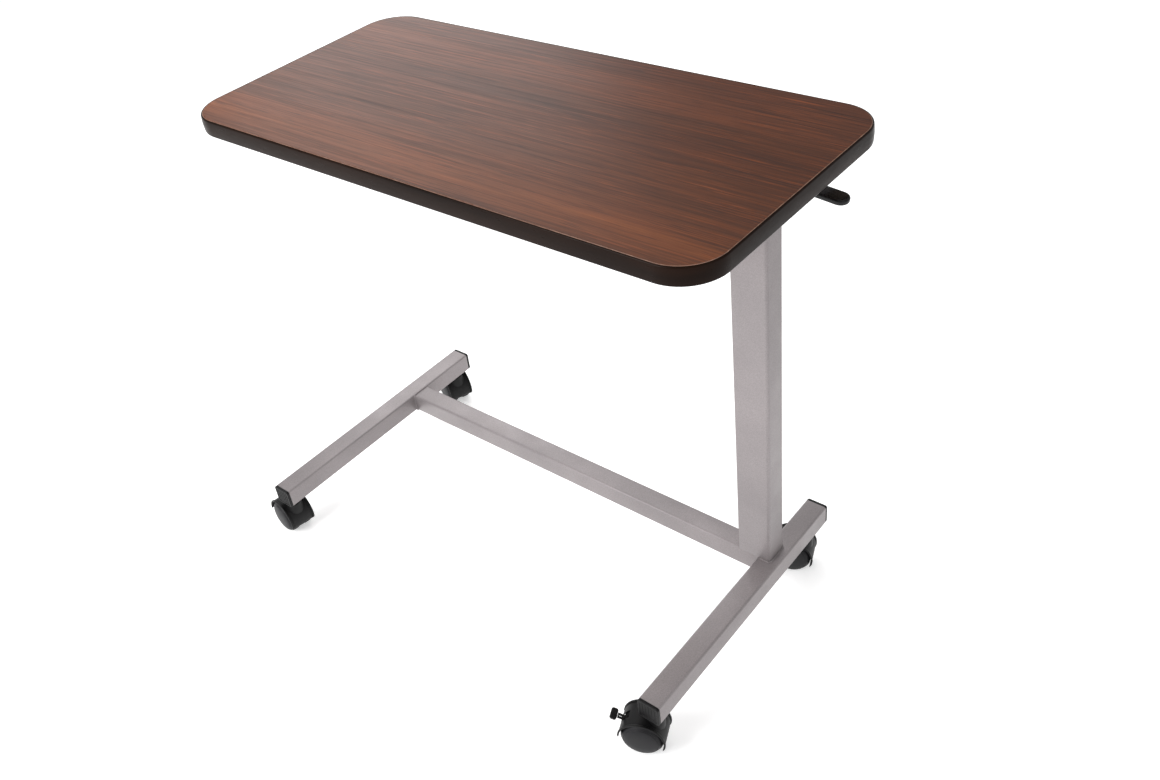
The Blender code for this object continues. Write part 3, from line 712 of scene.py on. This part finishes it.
def make_welds():
    """Beads where the rail meets the legs and where the column stands on them."""
    low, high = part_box("cross_rail")
    radius, half = 0.0012, (high.z - low.z) / 2 + 0.0004
    centre_y, centre_z = (low.y + high.y) / 2, (low.z + high.z) / 2
    path = rounded_rectangle(2 * half, 2 * half, TUBE_CORNER + 0.0004, 6)
    for side, x in (("left", low.x + 0.0002), ("right", high.x - 0.0002)):
        corners = [(x, centre_y + y, centre_z + z) for y, z in path + path[:1]]
        piece(f"weld_{side}_rail", rippled_bead(along_lines(corners), radius, 0.22, WELD_PITCH),
              "silver_paint", "base")

    column_low, column_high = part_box("outer_column")
    start_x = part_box("right_leg")[0].x + 0.004
    z = column_low.z + 0.0002
    reach, corner = 0.0007, 0.002
    front_y, back_y, side_x = column_low.y - reach, column_high.y + reach, column_high.x + reach
    around = [(start_x, front_y, z), (column_high.x - corner, front_y, z),
              (side_x, column_low.y + corner, z), (side_x, column_high.y - corner, z),
              (column_high.x - corner, back_y, z), (start_x, back_y, z)]
    across = [(column_low.x - reach, low.y + 0.003, z), (column_low.x - reach, high.y - 0.003, z)]
    for name, corners in (("leg", around), ("rail", across)):
        piece("weld_column_" + name, rippled_bead(along_lines(corners), 0.0011, 0.2, WELD_PITCH),
              "silver_paint", "base")


def make_plug(where):
    """A push-in cap: a lip round its face, and shallow upright ribs in the middle."""
    node = "end_plug_" + where
    leg = ("left" if "left" in where else "right") + "_leg"
    outward = -1 if where.startswith("front") else 1
    end = 0 if outward < 0 else 1
    middle, size = box_of(node)
    face_y, tube_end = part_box(node)[end].y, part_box(leg)[end].y
    cap = abs(face_y - tube_end)
    side = size.x
    # In the plug's own frame +Z is outward and +Y is up.
    place = Matrix.Translation((middle.x, face_y, middle.z)) @ Matrix(
        ((-outward, 0, 0, 0), (0, 0, outward, 0), (0, 1, 0, 0), (0, 0, 0, 1)))
    outer = rounded_rectangle(side, side, 0.0036, 8)
    pocket = rounded_rectangle(side - 0.0058, side - 0.0058, 0.0022, 6)
    piece(f"plug_rim_{where}", slab([outer, pocket], -cap + 0.0002, 0, 0.0008, 4), "black_plastic", "base",
          [node], place)
    web = rounded_rectangle(side - 0.0054, side - 0.0054, 0.0024, 6)
    piece(f"plug_face_{where}", slab([web], -cap + 0.0004, -0.0007, 0.0002, 1), "black_plastic", "base", (),
          place)
    inside = box_of(leg)[1].x - 2 * TUBE_WALL - CLEARANCE
    boss = slab([rounded_rectangle(inside, inside, 0.002, 6)], -cap - 0.0035, -cap + 0.0006, 0.0005, 2)
    piece(f"plug_boss_{where}", boss, "black_plastic", "base", (), place)
    ribs, pitch = 5, 0.0045
    for number in range(ribs):
        x = (number - (ribs - 1) / 2) * pitch
        rib = slab([rounded_rectangle(0.0013, side - 0.0075, 0.0006, 4, (x, 0))], -0.0010, -0.0002, 0.0003, 2)
        piece(f"plug_rib_{where}_{number + 1}", rib, "black_plastic", "base", (), place)


def make_socket(where):
    """The collar that the stem goes up through, stepped where it enters the leg."""
    low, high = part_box("caster_socket_" + where)
    middle, size = box_of("caster_socket_" + where)
    bore, reach = 0.0042, size.x / 2
    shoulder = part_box("left_leg")[0].z
    profile = [(bore, high.z), (0.0058, high.z), (0.0060, shoulder - 0.0003),
               (reach - 0.0004, shoulder - 0.0003), (reach, shoulder - 0.0007),
               (reach - 0.0003, low.z + 0.0003), (reach - 0.0009, low.z), (bore, low.z)]
    piece("socket_collar_" + where, turned(profile, 40), "black_plastic", "base",
          ["caster_socket_" + where], Matrix.Translation((middle.x, middle.y, 0)))


# Casters.


def caster_frame(where):
    """Stands on the stem's axis at the floor, with +X along the trail. The wheels turn about Y."""
    swivel = JOINTS["swivel_" + where]["pos_m"]
    axle = JOINTS[f"spin_{where}_a"]["pos_m"]
    aim = math.atan2(axle[1] - swivel[1], axle[0] - swivel[0])
    trail = math.hypot(axle[1] - swivel[1], axle[0] - swivel[0])
    return Matrix.Translation((swivel[0], swivel[1], 0)) @ Matrix.Rotation(aim, 4, "Z"), trail, axle[2]


def hood_section(thin):
    """The hood's section as (across, radius): a raised band round each rim and a crease beside it."""
    band, rounding = 0.0034, 0.0011
    rim = HOOD_INSIDE + (HOOD_RIM - HOOD_INSIDE) * thin
    top = HOOD_INSIDE + (HOOD_TOP - HOOD_INSIDE) * thin
    crease = HOOD_HALF - band
    side = [(0, top), (crease * 0.6, top), (crease - 0.0009, top - 0.0001 * thin),
            (crease - 0.0005, top - 0.0006 * thin), (crease - 0.0001, top - 0.0006 * thin),
            (crease + 0.0002, rim - 0.0003 * thin), (crease + 0.0006, rim)]
    for across, height in arc((HOOD_HALF - rounding, 0), rounding, 90, 0, 4):
        side.append((across, rim - (rounding - height) * thin))
    side += [(HOOD_HALF, HOOD_INSIDE + 0.0003 * thin), (HOOD_HALF - 0.0003, HOOD_INSIDE),
             (WEB_HALF, HOOD_INSIDE)]
    return [(-across, radius) for across, radius in reversed(side[1:])] + side


def caster_hood(trail, axle_z):
    """The curved cover over both wheels."""
    start, end = HOOD_ENDS
    steps, start_taper, end_taper = 54, 4, 12
    rings = []
    for step in range(steps + 1):
        # Rings bunch towards both ends, where the hood thins out.
        angle = start + (end - start) * (0.5 - 0.5 * math.cos(math.pi * step / steps))
        thin = min(1.0, 0.25 + 0.75 * math.sin(math.pi / 2 * min(1.0, (end - angle) / end_taper)))
        thin = min(thin, 0.45 + 0.55 * math.sin(math.pi / 2 * min(1.0, (angle - start) / start_taper)))
        turn = math.radians(angle)
        rings.append([(trail + radius * math.cos(turn), across, axle_z + radius * math.sin(turn))
                      for across, radius in hood_section(thin)])
    return lofted(rings)


def caster_web(trail, axle_z):
    """The plate between the wheels, in the XZ plane."""
    start, end = HOOD_ENDS
    outline = arc((trail, axle_z), HOOD_INSIDE + 0.0006, start, end, 40)
    outline += [(trail - 0.003, axle_z - 0.0085), (trail + 0.004, axle_z - 0.0060)]
    web = slab([outline], -WEB_HALF, WEB_HALF, 0.0004, 2)
    web.transform(Matrix.Rotation(math.radians(90), 4, "X"))
    return web


def caster_neck(trail, axle_z):
    """The neck that rises from the hood and closes in to the boss round the stem, clear of the wheels."""
    # Each level is its height, its back and front edges along the trail, and its half width.
    levels = [(0.0400, -0.0108, 0.0170, 0.0150), (0.0450, -0.0110, 0.0170, 0.0148),
              (0.0490, -0.0112, 0.0165, 0.0140), (0.0520, -0.0112, 0.0150, 0.0130),
              (0.0545, -0.0112, 0.0130, 0.0120), (0.0565, -0.0112, 0.0119, 0.0114),
              (0.0585, -0.0112, 0.0113, 0.0112), (0.0594, -0.0110, 0.0111, 0.0110),
              (0.0599, -0.0105, 0.0105, 0.0105)]
    rings = []
    for height, back, front, half in levels:
        centre, reach = (back + front) / 2, (front - back) / 2
        rings.append([(centre + reach * x, half * y, height) for x, y in circle(1.0, 40)])
    top, bottom = levels[-1][0], 0.0530
    bore = [[(x, y, height) for x, y in circle(0.0043, 40)] for height in (top, bottom)]
    neck = lofted(rings + bore)
    reach, half = HOOD_INSIDE + 0.0002, 0.010
    spaces = []
    for side in (-1, 1):
        space = turned([(0, half), (reach, half), (reach, -half), (0, -half)], 64)
        space.transform(Matrix.Translation((trail, side * (WEB_HALF + half), axle_z))
                        @ Matrix.Rotation(math.radians(90), 4, "X"))
        spaces.append(space)
    return cut(neck, spaces)


def make_housing(where, place, trail, axle_z):
    hood, web = caster_hood(trail, axle_z), caster_web(trail, axle_z)
    if where in BRAKED:
        pivot = place.inverted() @ Vector(JOINTS["brake_" + where]["pos_m"])
        notch = ((pivot.x - 0.0040, -0.0055, pivot.z - 0.0045),
                 (pivot.x + 0.020, 0.0055, pivot.z + 0.030))
        hood, web = cut(hood, [block(*notch)]), cut(web, [block(*notch)])
    body = "caster_" + where
    piece("caster_hood_" + where, hood, "black_plastic", body, ["caster_housing_" + where], place, 38)
    piece("caster_web_" + where, web, "black_plastic", body, (), place)
    piece("caster_neck_" + where, caster_neck(trail, axle_z), "black_plastic", body, (), place, 50)


def make_stem(where, place):
    """The steel stem, with a washer just under the socket's collar."""
    low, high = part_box("caster_stem_" + where)
    shank, washer, washer_low, washer_high = 0.0040, 0.0078, 0.0602, 0.0617
    profile = [(0, high.z), (0.0026, high.z), (0.0034, high.z - 0.0012), (shank, high.z - 0.0016),
               (shank, washer_high), (washer - 0.0004, washer_high), (washer, washer_high - 0.0003),
               (washer, washer_low + 0.0003), (washer - 0.0004, washer_low), (shank, washer_low),
               (shank, low.z), (0, low.z)]
    piece("stem_" + where, turned(profile, 36), "zinc_steel", "caster_" + where, ["caster_stem_" + where],
          place)


def wheel_cover():
    """The wheel's moulded body: a domed disc with a line round its rim, and a hub on the inner side."""
    profile = [(0, 0.0235), (0.0055, 0.02344), (0.0105, 0.02318), (0.0150, 0.02264), (0.0185, 0.02190),
               (0.0208, 0.02110), (0.0216, 0.02068), (0.0219, 0.02010), (0.0223, 0.02005), (0.0227, 0.02022),
               (0.0239, 0.01930), (0.0250, 0.01810), (0.0258, 0.01690), (0.0263, 0.01570),
               (0.0263, 0.0062), (0.0255, 0.0050), (0.0230, 0.0048), (0.0218, 0.0060),
               (0.0215, 0.0140), (0.0075, 0.0140), (0.0070, 0.0060), (0.0066, 0.0046), (0.00335, 0.0046),
               (0.00335, 0.0196), (0, 0.0196)]
    return turned(profile, 72)


def wheel_tread():
    """The running band, with rounded edges."""
    profile = [(0.0261, 0.0056), (0.0267, 0.0052), (0.0272, 0.0058), (0.02745, 0.0068), (0.0275, 0.0080),
               (0.0275, 0.0132), (0.02740, 0.0142), (0.0271, 0.0151), (0.0266, 0.0158), (0.0261, 0.0156)]
    return turned(profile, 72)


def make_wheels(where, place, trail, axle_z):
    """Two wheels on one axle, each turned so that its domed face is outward."""
    for side, turn in (("a", -90), ("b", 90)):
        node = f"wheel_{where}_{side}"
        at_axle = place @ Matrix.Translation((trail, 0, axle_z)) @ Matrix.Rotation(math.radians(turn), 4, "X")
        piece(f"wheel_cover_{where}_{side}", wheel_cover(), "wheel_plastic", node, [node], at_axle, 40)
        piece(f"wheel_tread_{where}_{side}", wheel_tread(), "wheel_tread", node, (), at_axle, 40)


def make_pedal(where, place):
    """The brake: an arm with a slot in it, a round hub and a ridged cross bar."""
    pivot = place.inverted() @ Vector(JOINTS["brake_" + where]["pos_m"])
    own = place @ Matrix.Translation(pivot) @ Matrix.Rotation(math.radians(PEDAL_PITCH), 4, "Y")
    body = "brake_" + where
    arm_half, arm_end = 0.0034, 0.0125
    outline = arc((0.0010, 0), arm_half, 110, 250, 6)
    outline += [(arm_end, -arm_half), (arm_end, arm_half)]
    opening = rounded_rectangle(0.0044, 0.0018, 0.0008, 4, (0.0090, 0))
    piece("pedal_arm_" + where, slab([outline, opening], -0.0013, 0.0013, 0.0004, 2), "black_plastic", body,
          ["brake_pedal_" + where], own)
    reach, bevel = 0.0029, 0.0003
    hub = turned([(0, arm_half), (reach - bevel, arm_half), (reach, arm_half - bevel),
                  (reach, bevel - arm_half), (reach - bevel, -arm_half), (0, -arm_half)], 28)
    piece("pedal_hub_" + where, hub, "black_plastic", body, (),
          own @ Matrix.Rotation(math.radians(90), 4, "X"))
    pad = slab([rounded_rectangle(0.009, 0.016, 0.003, 6, (0.0175, 0))], -0.0017, 0.0021, 0.0011, 4)
    piece("pedal_bar_" + where, pad, "black_plastic", body, (), own)
    first, pitch = 0.0155, 0.0020
    for number in range(3):
        at = (first + pitch * number, 0)
        ridge = slab([rounded_rectangle(0.0008, 0.0115, 0.0004, 3, at)], 0.0018, 0.0024, 0.0002, 2)
        piece(f"pedal_ridge_{where}_{number + 1}", ridge, "black_plastic", body, (), own)


def make_casters():
    for where in CORNERS:
        place, trail, axle_z = caster_frame(where)
        make_housing(where, place, trail, axle_z)
        make_stem(where, place)
        make_wheels(where, place, trail, axle_z)
        if where in BRAKED:
            make_pedal(where, place)


# The CAD nodes that no piece replaces, with better materials.


def finish_nodes():
    kept = {
        "particle_board": ["top_core"],
        "backing_sheet": ["top_backer"],
        "zinc_steel": ["inner_column", "column_head_block", "gas_spring_rod", "rod_lock_nut",
                       "lever_pivot_pin", "release_lever_arm", "release_pin", "column_foot_plate"]
                      + ["axle_" + where for where in CORNERS],
        "black_plastic": ["lower_glide_shoe"],
        "cylinder_paint": ["gas_spring_cylinder"],
    }
    for look, nodes in kept.items():
        for name in nodes:
            obj = frame["nodes"][name]
            obj.data.materials.clear()
            obj.data.materials.append(LOOKS[look])


# The stage.


def make_floor():
    made = Finish("pale_floor", Roughness=0.9, Specular_IOR_Level=0.2, Emission_Color=grey(1.0),
                  Emission_Strength=0.45)
    made.colour(made.ramp(made.noise((3, 3, 3), 2.0), [(0.3, grey(0.90)), (0.7, grey(0.93))]))
    work = bmesh.new()
    bmesh.ops.create_grid(work, x_segments=1, y_segments=1, size=FLOOR_SIZE / 2)
    floor = linked("floor", work, made.material)


def area_light(name, place, target, size, power):
    lamp = bpy.data.lights.new(name, "AREA")
    lamp.shape = "RECTANGLE"
    lamp.size, lamp.size_y = size
    lamp.energy = power
    obj = bpy.data.objects.new(name, lamp)
    obj.location = place
    obj.rotation_euler = (Vector(target) - Vector(place)).to_track_quat("-Z", "Y").to_euler()
    bpy.context.scene.collection.objects.link(obj)


def make_lights():
    world = bpy.data.worlds.new("studio")
    bpy.context.scene.world = world
    world.use_nodes = True
    world.node_tree.nodes["Background"].inputs["Color"].default_value = grey(1.0)
    world.node_tree.nodes["Background"].inputs["Strength"].default_value = 0.5
    middle = (0, 0, 0.4)
    area_light("key", (-0.9, -2.5, 1.9), middle, (1.8, 1.4), 70)
    area_light("overhead", (-0.6, 0.9, 2.8), middle, (2.2, 1.6), 30)
    area_light("window", (-2.1, 1.7, 1.6), middle, (1.4, 1.2), 16)
    area_light("fill", (2.4, -0.6, 1.4), middle, (1.4, 1.4), 4)


def make_camera():
    lens = bpy.data.cameras.new("camera")
    lens.lens = CAMERA_LENS
    lens.sensor_width = 36.0
    lens.shift_x, lens.shift_y = CAMERA_SHIFT
    camera = bpy.data.objects.new("camera", lens)
    camera.location = CAMERA_PLACE
    camera.rotation_euler = [math.radians(angle) for angle in CAMERA_TURN]
    bpy.context.scene.collection.objects.link(camera)
    bpy.context.scene.camera = camera


make_top()
make_mounting()
make_lever()
make_column()
make_base()
make_casters()
finish_nodes()
make_floor()
make_lights()
make_camera()
bpy.context.scene.view_settings.view_transform = "Standard"
